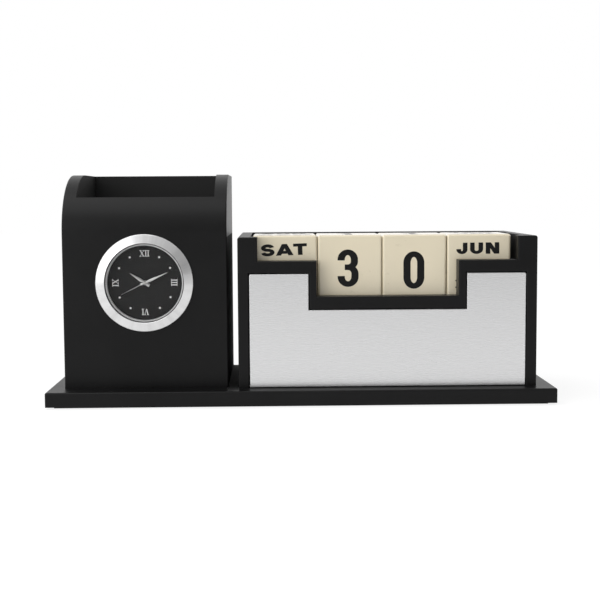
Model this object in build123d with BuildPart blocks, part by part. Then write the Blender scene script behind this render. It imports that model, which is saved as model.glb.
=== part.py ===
from build123d import *
import os
from math import cos, pi, radians, sin, sqrt

# Desk organiser in black lacquered board: a tall pen box with a round quartz clock
# in its front, beside a lower calendar box with four turning cubes in an open tray
# and a silver-faced drawer under them, both on one long base board.
#
# Millimetres. X runs along the base, Y from the front to the rear, Z up. The origin
# is the middle of the footprint, on the surface that the felt underlay stands on.

os.makedirs("parts", exist_ok=True)

# ---------------------------------------------------------------- driving sizes
# Base board and the felt glued under it
base_thickness = 7.5
base_edge = 0.9  # rounding of the base board's edges
felt_thickness = 1.0
felt_inset = 4.0
left_end = 8.0  # base left of the pen box
right_end = 8.8  # base right of the calendar box
box_gap = 5.4  # between the two boxes
front_strip = 10.0  # base in front of the calendar box
rear_strip = 0.5  # base behind both boxes

# Boards
side_board = 6.5  # side and back boards of both boxes
front_board = 9.0  # the boards that face the user
arris = 0.7  # rounding of the boards' outer edges
box_corner = 1.2  # rounding of the calendar box's outer edges at its top

# Pen box
pen_width = 84.1
pen_depth = 83.0
pen_height = 110.0  # above the base board
nose_depth = 40.0  # the quarter ellipse cut from the upper front corner
nose_height = 30.4
feather_edge = 0.8  # what the nose leaves of the front board at its top
clock_height = 54.25  # clock's centre above the base board
clock_shift = -0.3  # clock's centre to the right of the pen box's middle

# Cubes
cube_names = ("weekday_cube", "tens_cube", "units_cube", "month_cube")
cube_size = 33.25
cube_edge = 1.3  # rounding of the cubes' edges
cube_spacing = 0.32  # between neighbouring cubes
cube_front_gap = 0.5  # behind the fascia
cube_side_gap = 1.2  # between the first cube and the left side board
cube_row_slack = 5.4  # between the last cube and the right side board
cube_rise = 0.55  # how far the cubes stand above the box

# Calendar box, as wide as the row of cubes needs
calendar_depth = 86.5
calendar_height = 77.4  # above the base board
ear_width = 10.1
ledge_drop = 12.35  # the fascia's shoulders below the top of the box
lip_cover = 2.1  # how much of the number cubes the fascia's low middle hides
lip_inset = 40.4  # from the box's side to the low middle
shoulder_band = 6.2  # fascia over the drawer opening, under a shoulder
middle_band = 6.5  # the same under the low middle
step_band = 3.9  # the same beside the step between them
leg_width = 5.5  # fascia on each side of the drawer opening
tray_floor_thickness = 3.0
stop_rail_thickness = 4.0  # rail behind the cubes
stop_rail_height = 18.0

# Drawer
drawer_gap = 0.4  # round the drawer front
drawer_float = 0.3  # under the drawer
drawer_side_gap = 0.5  # beside and behind the drawer box
drawer_wall = 4.0
drawer_bottom_thickness = 3.0
drawer_box_drop = 1.0  # the drawer box's walls below the opening's low middle
face_plate = 1.0  # silver plate on the drawer front
face_plate_edge = 0.3  # rounding of its front edges
face_plate_corner = 0.8  # rounding of its two outer corners

# Assembly screws, from below into the side boards
screw_radius = 1.4
screw_head_radius = 2.6
screw_length = 20.0
screw_end_distance = 16.0  # from each end of a side board
screw_clearance = 0.05

# Clock insert. Depths are behind the front face of the pen box, so those in front
# of it are negative.
bezel_radius = 25.0
bezel_height = 2.3
bezel_inner_radius = 20.3
bezel_fall = 1.1  # how far the broad band falls from the lens to the rim
bezel_rim = 0.6  # rounding of the rim
bezel_lip = 0.15  # chamfer beside the lens
bezel_skirt_depth = 3.0
case_radius = 22.2
case_wall = 1.2
case_depth = 13.6
case_rear_wall = 1.4
hole_radius = 23.1  # in the front board
grip_depth = 7.5  # length of the rubber ring that grips the hole
lens_thickness = 1.0
lens_seat_width = 0.35
lens_front = -1.5
dial_gap = 0.15  # round the dial
dial_hole_gap = 0.3  # between the dial and the tube of the hour wheel
dial_ring_lip = 0.3  # in front of the dial
dial_ring_top = 0.6  # width of the dial ring under the lens
dial_seat_width = 2.4  # rim of the movement plate that carries the dial
dial_front = 2.4
dial_thickness = 0.4
dial_opening_radius = 19.25
fit = 0.1  # between the clock's fixed pieces
running = 0.06  # radial clearance of an arbor in its hole

# Hands, as angles clockwise from twelve with the hands as they stand at rest
hour_angle = 303.0
minute_angle = 66.0
second_angle = 243.5
hour_length = 9.1
minute_length = 13.2
second_length = 13.5
hour_tail = 3.0
minute_tail = 3.4
second_tail = 4.2
hour_hand_width = 2.0
minute_hand_width = 1.7
second_hand_width = 0.55
hub_wall = 0.5  # round each hand's hole
hand_thickness = 0.2
hour_hand_depth = 1.6
minute_hand_depth = 1.0
second_hand_depth = 0.4

# Arbors and tubes of the movement
second_arbor_radius = 0.25
minute_tube_radius = 0.62
hour_tube_radius = 1.0
pivot_radius = 0.3
stem_radius = 0.5

# Movement: plate and bridge, and the layers in which the wheels turn
plate_front = 3.9
plate_thickness = 0.8
bridge_front = 7.6
bridge_thickness = 0.6
bridge_radius = 12.5
bridge_top = 11.2
pillar_radius = 0.8
pillar_distance = 11.5
pillar_angles = (5, 140, 200, 325)
wheel_thickness = 0.35
hour_layer = 2.95
minute_layer = 3.4
centre_layer = 4.9
third_layer = 5.45
second_layer = 6.05
middle_layer = 6.65
pinion_overlap = 0.05  # a pinion is this much longer than its wheel, each side

# Gear train: tooth counts, and how far each arbor stands from the hands' centre
second_pinion_teeth = 8
third_wheel_teeth = 60
third_pinion_teeth = 8
centre_wheel_teeth = 64
second_wheel_teeth = 60
middle_pinion_teeth = 8
middle_wheel_teeth = 32
rotor_pinion_teeth = 8
cannon_pinion_teeth = 12
minute_wheel_teeth = 36
minute_pinion_teeth = 10
hour_wheel_teeth = 40
train_distance = 5.44  # third wheel and middle wheel
motion_distance = 6.0  # minute wheel
third_direction = 175.0
middle_direction = 75.0
setting_direction = 20.0

# Stepping motor, battery and circuit
magnet_radius = 1.3
magnet_length = 1.2
magnet_front = 5.0
stator_front = 5.3
stator_thickness = 0.6
stator_air_gap = 0.4
coil_radius = 1.9
coil_length = 13.0
coil_height = 13.4  # above the hands' centre
coil_depth = 6.9
core_width = 1.2
core_thickness = 0.8
core_length = 18.0
battery_radius = 5.8
battery_thickness = 5.4
battery_hatch_gap = 0.45  # between them
battery_drop = 11.0  # below the hands' centre
battery_nest_gap = 0.5  # round the battery
board_thickness = 0.6
board_width = 20.0
board_height = 11.0
board_lift = 1.5  # the board's middle above the hands' centre
chip_radius = 1.6
chip_height = 0.7
chip_place = (-4.0, 2.0)
contact_thickness = 0.2
contact_width = 2.4
hatch_radius = 6.8
knob_radius = 3.4
knob_length = 2.4
knob_flutes = 18

# ---------------------------------------------------------------- worked out
base_bottom = felt_thickness
deck = base_bottom + base_thickness  # the base board's upper face
cube_row = len(cube_names) * (cube_size + cube_spacing) - cube_spacing
calendar_width = 2 * side_board + cube_side_gap + cube_row + cube_row_slack
base_length = left_end + pen_width + box_gap + calendar_width + right_end
base_depth = front_strip + calendar_depth + rear_strip
base_left = -base_length / 2
base_front = -base_depth / 2
boxes_rear = base_depth / 2 - rear_strip

pen_left = base_left + left_end
pen_right = pen_left + pen_width
pen_front = boxes_rear - pen_depth
pen_top = deck + pen_height
calendar_left = pen_right + box_gap
calendar_right = calendar_left + calendar_width
calendar_front = boxes_rear - calendar_depth
calendar_top = deck + calendar_height
calendar_middle = (calendar_left + calendar_right) / 2

tray_inner_left = calendar_left + side_board
tray_inner_right = calendar_right - side_board
tray_front = calendar_front + front_board
tray_rear = boxes_rear - side_board
tray_top = calendar_top + cube_rise - cube_size  # what the cubes stand on
tray_underside = tray_top - tray_floor_thickness

# Heights of the fascia's steps and of the drawer opening, above the base board
ledge_height = calendar_height - ledge_drop
lip_height = tray_top + lip_cover - deck
shoulder_height = ledge_height - shoulder_band
middle_height = lip_height - middle_band
middle_inset = lip_inset - step_band

clock_x = (pen_left + pen_right) / 2 + clock_shift
clock_z = deck + clock_height
clock_axis = Axis((clock_x, pen_front, clock_z), (0, 1, 0))
case_inner_radius = case_radius - case_wall
case_ledge_radius = case_inner_radius - 1.0
plate_rear = plate_front + plate_thickness
battery_front = case_depth - case_rear_wall - battery_hatch_gap - battery_thickness


def cuboid(low, high, mode=Mode.ADD):
    """Adds or cuts a box between two opposite corners."""
    middle = tuple((a + b) / 2 for a, b in zip(low, high))
    with Locations(middle):
        Box(*(b - a for a, b in zip(low, high)), mode=mode)


def upright(y):
    """A plane across the object at depth y, with its own x along X and y along Z."""
    return Plane.XZ.offset(-y)


def clock_plane(depth):
    """Across the clock at a depth behind the pen box's face, seen from behind."""
    return Plane(origin=(clock_x, pen_front + depth, clock_z), x_dir=(-1, 0, 0), z_dir=(0, 1, 0))


def clock_section():
    """Half section of the clock: x is the radius, y the depth behind the face."""
    return Plane(origin=(clock_x, pen_front, clock_z), x_dir=(1, 0, 0), z_dir=(0, 0, 1))


def at_angle(distance, direction):
    """A place on a clock plane, from its distance and direction from the centre."""
    return (distance * cos(radians(direction)), distance * sin(radians(direction)))


def ring(outer, inner, front, rear):
    """Adds a plain ring round the clock's axis."""
    with BuildSketch(clock_plane(front)) as outline:
        Circle(outer)
        Circle(inner, mode=Mode.SUBTRACT)
    extrude(outline.sketch, amount=rear - front)


def disc(place, radius, front, rear, mode=Mode.ADD):
    """Adds or cuts a round disc or pin at a place on the clock's planes."""
    with BuildSketch(clock_plane(front)) as outline:
        with Locations(place):
            Circle(radius)
    extrude(outline.sketch, amount=rear - front, mode=mode)


def gear(place, teeth, pitch_radius, towards, tooth_first, front, rear):
    """Adds a toothed wheel with a tooth, or else a gap, on the line to its mate."""
    module = 2 * pitch_radius / teeth
    step = 360 / teeth
    start = towards if tooth_first else towards + step / 2
    root = pitch_radius - 1.15 * module
    tip = pitch_radius + 0.8 * module
    corners = []
    for n in range(teeth):
        middle = start + n * step
        for share, radius in ((-0.30, root), (-0.11, tip), (0.11, tip), (0.30, root)):
            corners.append(at_angle(radius, middle + share * step))
    with BuildSketch(clock_plane(front)) as outline:
        with Locations(place):
            Polygon(*corners, align=None)
    extrude(outline.sketch, amount=rear - front)


def nose_profile(plane):
    """Side view of the pen box, with its upper front corner cut to a quarter ellipse."""
    with BuildSketch(plane) as profile:
        with BuildLine():
            Polyline(
                (pen_front, pen_top - nose_height),
                (pen_front, deck),
                (boxes_rear, deck),
                (boxes_rear, pen_top),
                (pen_front + nose_depth, pen_top),
            )
            EllipticalCenterArc(
                (pen_front + nose_depth, pen_top - nose_height),
                nose_depth,
                nose_height,
                start_angle=90,
                arc_size=90,
            )
        make_face()
    return profile


def save(piece, name):
    """Labels a finished piece and writes it as its own file."""
    piece.part.label = name
    export_step(piece.part, f"parts/{name}.step")


# ---------------------------------------------------------------- base
screw_places = [
    (x, y)
    for x in (
        pen_left + side_board / 2,
        pen_right - side_board / 2,
        calendar_left + side_board / 2,
        calendar_right - side_board / 2,
    )
    for y in (
        (pen_front if x < calendar_left else tray_front) + screw_end_distance,
        boxes_rear - screw_end_distance,
    )
]
screw_hole_radius = screw_radius + screw_clearance
head_depth = screw_head_radius - screw_radius
screw_tip = base_bottom + screw_length


def screw_hole(x, y, top):
    """Cuts a screw's hole, from the base board's underside up to a height."""
    with BuildSketch(Plane.XY.offset(base_bottom)) as outline:
        with Locations((x, y)):
            Circle(screw_hole_radius)
    extrude(outline.sketch, amount=top - base_bottom, mode=Mode.SUBTRACT)


with BuildPart() as base_board:
    cuboid(
        (base_left, base_front, base_bottom),
        (base_left + base_length, base_front + base_depth, deck),
    )
    fillet(base_board.edges().filter_by(Axis.Z), base_edge)
    fillet(base_board.faces().sort_by(Axis.Z)[-1].edges(), base_edge)
    for x, y in screw_places:
        screw_hole(x, y, deck)
        with Locations((x, y, base_bottom + head_depth / 2)):
            Cone(
                screw_head_radius + screw_clearance,
                screw_hole_radius,
                head_depth,
                mode=Mode.SUBTRACT,
            )
save(base_board, "base_board")

with BuildPart() as base_felt:
    cuboid(
        (base_left + felt_inset, base_front + felt_inset, 0),
        (base_left + base_length - felt_inset, base_front + base_depth - felt_inset, base_bottom),
    )
save(base_felt, "base_felt")

with BuildPart() as base_screws:
    for x, y in screw_places:
        with BuildSketch(Plane.XY.offset(base_bottom)):
            with Locations((x, y)):
                Circle(screw_radius)
        extrude(amount=screw_length)
        with Locations((x, y, base_bottom + head_depth / 2)):
            Cone(screw_head_radius, screw_radius, head_depth)
save(base_screws, "base_screws")


def tap_side_board(x_middle):
    """Cuts the pilot holes of the two screws that hold a side board."""
    for x, y in screw_places:
        if abs(x - x_middle) < side_board / 2:
            screw_hole(x, y, screw_tip + screw_clearance)


# ---------------------------------------------------------------- pen box
def pen_side(x_inner_to_outer):
    """Adds one side board of the pen box and rounds the edges of its outer face."""
    inner, outer = x_inner_to_outer
    profile = nose_profile(Plane.YZ.offset(min(inner, outer)))
    extrude(profile.sketch, amount=side_board)
    outer_face = faces().sort_by(lambda face: abs(face.center().X - outer))[0]
    rounded = [e for e in outer_face.edges() if e.center().Z > deck + arris]
    fillet(rounded, arris)
    tap_side_board((inner + outer) / 2)


with BuildPart() as pen_left_side:
    pen_side((pen_left + side_board, pen_left))
save(pen_left_side, "pen_left_side")

with BuildPart() as pen_right_side:
    pen_side((pen_right - side_board, pen_right))
save(pen_right_side, "pen_right_side")

# The nose leaves the front board a feather edge at its top.
feather_share = (nose_depth - front_board + feather_edge) / nose_depth
feather_top = pen_top - nose_height * (1 - sqrt(1 - feather_share**2))
pen_inner_left = pen_left + side_board
pen_inner_right = pen_right - side_board

with BuildPart() as pen_front_board:
    nose = nose_profile(Plane.YZ.offset(pen_inner_left))
    extrude(nose.sketch, amount=pen_inner_right - pen_inner_left)
    cuboid(
        (pen_inner_left, pen_front - 1, deck),
        (pen_inner_right, pen_front + front_board, feather_top),
        mode=Mode.INTERSECT,
    )
    disc((0, 0), hole_radius, -1, front_board + 1, mode=Mode.SUBTRACT)
save(pen_front_board, "pen_front_board")

with BuildPart() as pen_back_board:
    cuboid(
        (pen_inner_left, boxes_rear - side_board, deck),
        (pen_inner_right, boxes_rear, pen_top),
    )
save(pen_back_board, "pen_back_board")


# ---------------------------------------------------------------- calendar box
def round_corners(left, right, top, radius):
    """Rounds the edges that run from front to rear at an outline's upper corners."""
    corners = [
        edge
        for edge in edges().filter_by(Axis.Y)
        if min(abs(edge.center().X - x) for x in (left, right)) < 1e-3 and abs(edge.center().Z - top) < 1e-3
    ]
    fillet(corners, radius)


def calendar_side(inner, outer):
    """Adds one side board of the calendar box, behind the fascia."""
    cuboid(
        (min(inner, outer), tray_front, deck),
        (max(inner, outer), boxes_rear, calendar_top),
    )
    round_corners(outer, outer, calendar_top, box_corner)
    tap_side_board((inner + outer) / 2)


with BuildPart() as calendar_left_side:
    calendar_side(tray_inner_left, calendar_left)
save(calendar_left_side, "calendar_left_side")

with BuildPart() as calendar_right_side:
    calendar_side(tray_inner_right, calendar_right)
save(calendar_right_side, "calendar_right_side")

with BuildPart() as calendar_back:
    cuboid((tray_inner_left, tray_rear, deck), (tray_inner_right, boxes_rear, calendar_top))
save(calendar_back, "calendar_back")


def stepped_outline(side_inset, side_height, middle_side_inset, low_height):
    """A shape on the base board with tall ends and a low middle, as x and z points."""
    left = calendar_left + side_inset
    right = calendar_right - side_inset
    low_left = calendar_left + middle_side_inset
    low_right = calendar_right - middle_side_inset
    return [
        (left, deck),
        (right, deck),
        (right, deck + side_height),
        (low_right, deck + side_height),
        (low_right, deck + low_height),
        (low_left, deck + low_height),
        (low_left, deck + side_height),
        (left, deck + side_height),
    ]


with BuildPart() as calendar_fascia:
    with BuildSketch(upright(calendar_front)):
        Polygon(*stepped_outline(0, ledge_height, lip_inset, lip_height), align=None)
        for left in (calendar_left, calendar_right - ear_width):
            with Locations((left + ear_width / 2, deck + calendar_height / 2)):
                Rectangle(ear_width, calendar_height)
        opening = stepped_outline(leg_width, shoulder_height, middle_inset, middle_height)
        Polygon(*opening, align=None, mode=Mode.SUBTRACT)
    extrude(amount=-front_board)
    round_corners(calendar_left, calendar_right, calendar_top, box_corner)
    front_face = calendar_fascia.faces().sort_by(Axis.Y)[0]
    fillet([e for e in front_face.edges() if e.center().Z > deck + arris], arris)
save(calendar_fascia, "calendar_fascia")

with BuildPart() as cube_tray_floor:
    cuboid(
        (tray_inner_left, tray_front, tray_underside),
        (tray_inner_right, tray_rear, tray_top),
    )
save(cube_tray_floor, "cube_tray_floor")

cubes_front = tray_front + cube_front_gap
stop_rail_front = cubes_front + cube_size + cube_front_gap
with BuildPart() as cube_stop_rail:
    cuboid(
        (tray_inner_left, stop_rail_front, tray_top),
        (tray_inner_right, stop_rail_front + stop_rail_thickness, tray_top + stop_rail_height),
    )
save(cube_stop_rail, "cube_stop_rail")

# ---------------------------------------------------------------- cubes
for number, cube_name in enumerate(cube_names):
    left = tray_inner_left + cube_side_gap + number * (cube_size + cube_spacing)
    with BuildPart() as cube:
        cuboid(
            (left, cubes_front, tray_top),
            (left + cube_size, cubes_front + cube_size, tray_top + cube_size),
        )
        fillet(cube.edges(), cube_edge)
    save(cube, cube_name)

# ---------------------------------------------------------------- drawer
drawer_floor = deck + drawer_float
drawer_box_left = tray_inner_left + drawer_side_gap
drawer_box_right = tray_inner_right - drawer_side_gap
drawer_box_front = calendar_front + front_board
drawer_box_rear = tray_rear - drawer_side_gap
drawer_box_top = deck + middle_height - drawer_box_drop


def drawer_front_layer(front, thickness):
    """Adds one layer of the stepped drawer front, a gap inside its opening."""
    with BuildSketch(upright(front)) as outline:
        Polygon(
            *stepped_outline(
                leg_width + drawer_gap,
                shoulder_height - drawer_gap,
                middle_inset - drawer_gap,
                middle_height - drawer_gap,
            ),
            align=None,
        )
        with Locations((calendar_middle, deck + drawer_float / 2)):
            Rectangle(calendar_width, drawer_float, mode=Mode.SUBTRACT)
    extrude(outline.sketch, amount=-thickness)


with BuildPart() as drawer_face_plate:
    drawer_front_layer(calendar_front, face_plate)
    plate_inset = leg_width + drawer_gap
    round_corners(
        calendar_left + plate_inset,
        calendar_right - plate_inset,
        deck + shoulder_height - drawer_gap,
        face_plate_corner,
    )
    fillet(faces().sort_by(Axis.Y)[0].edges(), face_plate_edge)
save(drawer_face_plate, "drawer_face_plate")

with BuildPart() as drawer_front_board:
    drawer_front_layer(calendar_front + face_plate, front_board - face_plate)
save(drawer_front_board, "drawer_front_board")

with BuildPart() as drawer_left_side:
    cuboid(
        (drawer_box_left, drawer_box_front, drawer_floor),
        (drawer_box_left + drawer_wall, drawer_box_rear, drawer_box_top),
    )
save(drawer_left_side, "drawer_left_side")

with BuildPart() as drawer_right_side:
    cuboid(
        (drawer_box_right - drawer_wall, drawer_box_front, drawer_floor),
        (drawer_box_right, drawer_box_rear, drawer_box_top),
    )
save(drawer_right_side, "drawer_right_side")

with BuildPart() as drawer_back:
    cuboid(
        (drawer_box_left + drawer_wall, drawer_box_rear - drawer_wall, drawer_floor),
        (drawer_box_right - drawer_wall, drawer_box_rear, drawer_box_top),
    )
save(drawer_back, "drawer_back")

with BuildPart() as drawer_bottom:
    cuboid(
        (drawer_box_left + drawer_wall, drawer_box_front, drawer_floor),
        (
            drawer_box_right - drawer_wall,
            drawer_box_rear - drawer_wall,
            drawer_floor + drawer_bottom_thickness,
        ),
    )
save(drawer_bottom, "drawer_bottom")

# ---------------------------------------------------------------- clock: shell
lens_rear = lens_front + lens_thickness
lens_seat_radius = bezel_inner_radius - lens_seat_width
dial_radius = lens_seat_radius - dial_gap
skirt_radius = case_inner_radius - fit / 2
rim_front = -bezel_height + bezel_fall
stem_place = at_angle(motion_distance, setting_direction)
battery_place = (0, -battery_drop)

with BuildPart() as clock_bezel:
    with BuildSketch(clock_section()):
        with BuildLine():
            Polyline(
                (bezel_inner_radius, -bezel_height + bezel_lip),
                (bezel_inner_radius, lens_rear),
                (lens_seat_radius, lens_rear),
                (lens_seat_radius, bezel_skirt_depth),
                (skirt_radius, bezel_skirt_depth),
                (skirt_radius, 0),
                (bezel_radius, 0),
                (bezel_radius, rim_front + bezel_rim),
            )
            EllipticalCenterArc(
                (bezel_radius - bezel_rim, rim_front + bezel_rim),
                bezel_rim,
                bezel_rim,
                start_angle=0,
                arc_size=-90,
            )
            Polyline(
                (bezel_radius - bezel_rim, rim_front),
                (bezel_inner_radius + bezel_lip, -bezel_height),
                (bezel_inner_radius, -bezel_height + bezel_lip),
            )
        make_face()
    revolve(axis=clock_axis)
save(clock_bezel, "clock_bezel")

with BuildPart() as clock_lens:
    disc((0, 0), bezel_inner_radius - fit, lens_front, lens_rear)
save(clock_lens, "clock_lens")

with BuildPart() as clock_case:
    with BuildSketch(clock_section()):
        with BuildLine():
            Polyline(
                (case_inner_radius, fit),
                (case_radius, fit),
                (case_radius, case_depth),
                (0, case_depth),
                (0, case_depth - case_rear_wall),
                (case_ledge_radius, case_depth - case_rear_wall),
                (case_ledge_radius, plate_rear),
                (case_inner_radius, plate_rear),
                close=True,
            )
        make_face()
    revolve(axis=clock_axis)
    for place, radius in ((battery_place, hatch_radius + fit), (stem_place, stem_radius + running)):
        disc(place, radius, case_depth - case_rear_wall, case_depth, mode=Mode.SUBTRACT)
save(clock_case, "clock_case")

with BuildPart() as friction_ring:
    ring(hole_radius - fit / 2, case_radius + fit / 2, fit, fit + grip_depth)
save(friction_ring, "friction_ring")

with BuildPart() as dial_ring:
    with BuildSketch(clock_section()):
        with BuildLine():
            Polyline(
                (lens_seat_radius - fit, lens_rear + fit),
                (lens_seat_radius - fit, dial_front),
                (dial_opening_radius, dial_front),
                (dial_opening_radius, dial_front - dial_ring_lip),
                (lens_seat_radius - fit - dial_ring_top, lens_rear + fit),
                close=True,
            )
        make_face()
    revolve(axis=clock_axis)
save(dial_ring, "dial_ring")

with BuildPart() as clock_dial:
    ring(dial_radius, hour_tube_radius + dial_hole_gap, dial_front, dial_front + dial_thickness)
save(clock_dial, "clock_dial")

with BuildPart() as battery_hatch:
    disc(battery_place, hatch_radius, case_depth - case_rear_wall, case_depth)
    with BuildSketch(clock_plane(case_depth)):
        with Locations(battery_place):
            Rectangle(hatch_radius * 1.3, 1.2)
    extrude(amount=-case_rear_wall / 2, mode=Mode.SUBTRACT)
save(battery_hatch, "battery_hatch")


# ---------------------------------------------------------------- clock: hands
def hand_outline(angle, length, tail, width):
    """Lays out a dauphine hand: a long kite with a short pointed tail."""
    along = (-sin(radians(angle)), cos(radians(angle)))
    across = (along[1], -along[0])
    shape = ((length, 0), (0, width / 2), (-tail, 0), (0, -width / 2))
    return [(a * along[0] + b * across[0], a * along[1] + b * across[1]) for a, b in shape]


def hand(angle, length, tail, width, hub, depth):
    """Adds a hand with its hub."""
    with BuildSketch(clock_plane(depth)) as outline:
        Polygon(*hand_outline(angle, length, tail, width), align=None)
        Circle(hub)
    extrude(outline.sketch, amount=hand_thickness)


with BuildPart() as hour_hand:
    hub = hour_tube_radius + hub_wall
    hand(hour_angle, hour_length, hour_tail, hour_hand_width, hub, hour_hand_depth)
    disc((0, 0), hour_tube_radius, hour_hand_depth - 1, hour_hand_depth + 1, mode=Mode.SUBTRACT)
save(hour_hand, "hour_hand")

with BuildPart() as minute_hand:
    hub = minute_tube_radius + hub_wall
    hand(minute_angle, minute_length, minute_tail, minute_hand_width, hub, minute_hand_depth)
    disc((0, 0), minute_tube_radius, minute_hand_depth - 1, minute_hand_depth + 1, mode=Mode.SUBTRACT)
save(minute_hand, "minute_hand")

with BuildPart() as second_hand:
    hub = second_arbor_radius + hub_wall
    hand(second_angle, second_length, second_tail, second_hand_width, hub, second_hand_depth)
    disc((0, 0), second_arbor_radius, second_hand_depth - 1, second_hand_depth + 1, mode=Mode.SUBTRACT)
save(second_hand, "second_hand")

# ---------------------------------------------------------------- clock: gear train
third_place = at_angle(train_distance, third_direction)
middle_place = at_angle(train_distance, middle_direction)
centre = (0, 0)
half_turn = 180
pivot_end = bridge_front + bridge_thickness - fit
pivot_start = plate_front + fit


def pitch_radii(distance, teeth_a, teeth_b):
    """Pitch radii of two meshed gears a given distance apart."""
    share = distance / (teeth_a + teeth_b)
    return teeth_a * share, teeth_b * share


second_pinion_r, third_wheel_r = pitch_radii(train_distance, second_pinion_teeth, third_wheel_teeth)
third_pinion_r, centre_wheel_r = pitch_radii(train_distance, third_pinion_teeth, centre_wheel_teeth)
middle_pinion_r, second_wheel_r = pitch_radii(train_distance, middle_pinion_teeth, second_wheel_teeth)
cannon_r, minute_wheel_r = pitch_radii(motion_distance, cannon_pinion_teeth, minute_wheel_teeth)
minute_pinion_r, hour_wheel_r = pitch_radii(motion_distance, minute_pinion_teeth, hour_wheel_teeth)
rotor_pinion_r = middle_pinion_r
middle_wheel_r = rotor_pinion_r * middle_wheel_teeth / rotor_pinion_teeth
rotor_place = at_angle(train_distance + rotor_pinion_r + middle_wheel_r, middle_direction)


def wheel_layer(layer):
    """Front and rear of a wheel in a layer."""
    return layer, layer + wheel_thickness


def pinion_layer(layer):
    """Front and rear of a pinion, a little longer than the wheel that it meets."""
    return layer - pinion_overlap, layer + wheel_thickness + pinion_overlap


with BuildPart() as second_wheel:
    disc(centre, second_arbor_radius, second_hand_depth - 0.1, pivot_end)
    layer = pinion_layer(third_layer)
    gear(centre, second_pinion_teeth, second_pinion_r, third_direction, True, *layer)
    layer = wheel_layer(second_layer)
    gear(centre, second_wheel_teeth, second_wheel_r, middle_direction, False, *layer)
save(second_wheel, "second_wheel")

with BuildPart() as third_wheel:
    back = third_direction + half_turn
    disc(third_place, pivot_radius, pivot_start, pivot_end)
    gear(third_place, third_pinion_teeth, third_pinion_r, back, True, *pinion_layer(centre_layer))
    gear(third_place, third_wheel_teeth, third_wheel_r, back, False, *wheel_layer(third_layer))
save(third_wheel, "third_wheel")

with BuildPart() as middle_wheel:
    back = middle_direction + half_turn
    disc(middle_place, pivot_radius, pivot_start, pivot_end)
    gear(middle_place, middle_pinion_teeth, middle_pinion_r, back, True, *pinion_layer(second_layer))
    gear(
        middle_place,
        middle_wheel_teeth,
        middle_wheel_r,
        middle_direction,
        False,
        *wheel_layer(middle_layer),
    )
save(middle_wheel, "middle_wheel")

with BuildPart() as rotor:
    disc(rotor_place, pivot_radius, pivot_start, pivot_end)
    disc(rotor_place, magnet_radius, magnet_front, magnet_front + magnet_length)
    gear(
        rotor_place,
        rotor_pinion_teeth,
        rotor_pinion_r,
        middle_direction + half_turn,
        True,
        *pinion_layer(middle_layer),
    )
save(rotor, "rotor")

with BuildPart() as centre_wheel:
    disc(centre, minute_tube_radius, minute_hand_depth, centre_layer + wheel_thickness)
    gear(centre, cannon_pinion_teeth, cannon_r, setting_direction, True, *wheel_layer(minute_layer))
    gear(centre, centre_wheel_teeth, centre_wheel_r, third_direction, False, *wheel_layer(centre_layer))
    disc(centre, second_arbor_radius + running, 0, bridge_front, mode=Mode.SUBTRACT)
save(centre_wheel, "centre_wheel")

with BuildPart() as hour_wheel:
    disc(centre, hour_tube_radius, hour_hand_depth, hour_layer + wheel_thickness)
    gear(centre, hour_wheel_teeth, hour_wheel_r, setting_direction, False, *wheel_layer(hour_layer))
    disc(centre, minute_tube_radius + running, 0, plate_front, mode=Mode.SUBTRACT)
save(hour_wheel, "hour_wheel")

stem_rear = case_depth + fit + knob_length
with BuildPart() as minute_wheel:
    back = setting_direction + half_turn
    disc(stem_place, stem_radius, hour_layer, stem_rear - knob_length / 2)
    gear(stem_place, minute_pinion_teeth, minute_pinion_r, back, True, *wheel_layer(hour_layer))
    gear(stem_place, minute_wheel_teeth, minute_wheel_r, back, False, *wheel_layer(minute_layer))
save(minute_wheel, "minute_wheel")

with BuildPart() as setting_knob:
    disc(stem_place, knob_radius, case_depth + fit, stem_rear)
    with BuildSketch(clock_plane(case_depth + fit)):
        with Locations(stem_place):
            with PolarLocations(knob_radius, knob_flutes):
                Circle(0.25)
    extrude(amount=knob_length, mode=Mode.SUBTRACT)
    disc(stem_place, stem_radius, case_depth, stem_rear - knob_length / 2, mode=Mode.SUBTRACT)
save(setting_knob, "setting_knob")

# ---------------------------------------------------------------- clock: movement
pivot_holes = (third_place, middle_place, rotor_place)

with BuildPart() as movement_plate:
    disc(centre, case_inner_radius - fit, plate_front, plate_rear)
    ring(dial_radius, dial_radius - dial_seat_width, dial_front + dial_thickness, plate_front)
    for angle in pillar_angles:
        disc(at_angle(pillar_distance, angle), pillar_radius, plate_rear, bridge_front)
    disc(centre, minute_tube_radius + running, plate_front, plate_rear, mode=Mode.SUBTRACT)
    disc(stem_place, stem_radius + running, plate_front, plate_rear, mode=Mode.SUBTRACT)
    for place in pivot_holes:
        disc(place, pivot_radius + running, plate_front, plate_rear, mode=Mode.SUBTRACT)
save(movement_plate, "movement_plate")

bridge_rear = bridge_front + bridge_thickness
with BuildPart() as train_bridge:
    with BuildSketch(clock_plane(bridge_front)):
        Circle(bridge_radius)
        with Locations((0, bridge_top - bridge_radius)):
            Rectangle(2 * bridge_radius, 2 * bridge_radius, mode=Mode.INTERSECT)
        with Locations(battery_place):
            Circle(battery_radius + battery_nest_gap, mode=Mode.SUBTRACT)
        Circle(second_arbor_radius + running, mode=Mode.SUBTRACT)
        with Locations(*pivot_holes):
            Circle(pivot_radius + running, mode=Mode.SUBTRACT)
        with Locations(stem_place):
            Circle(stem_radius + running, mode=Mode.SUBTRACT)
    extrude(amount=bridge_thickness)
save(train_bridge, "train_bridge")

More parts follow.
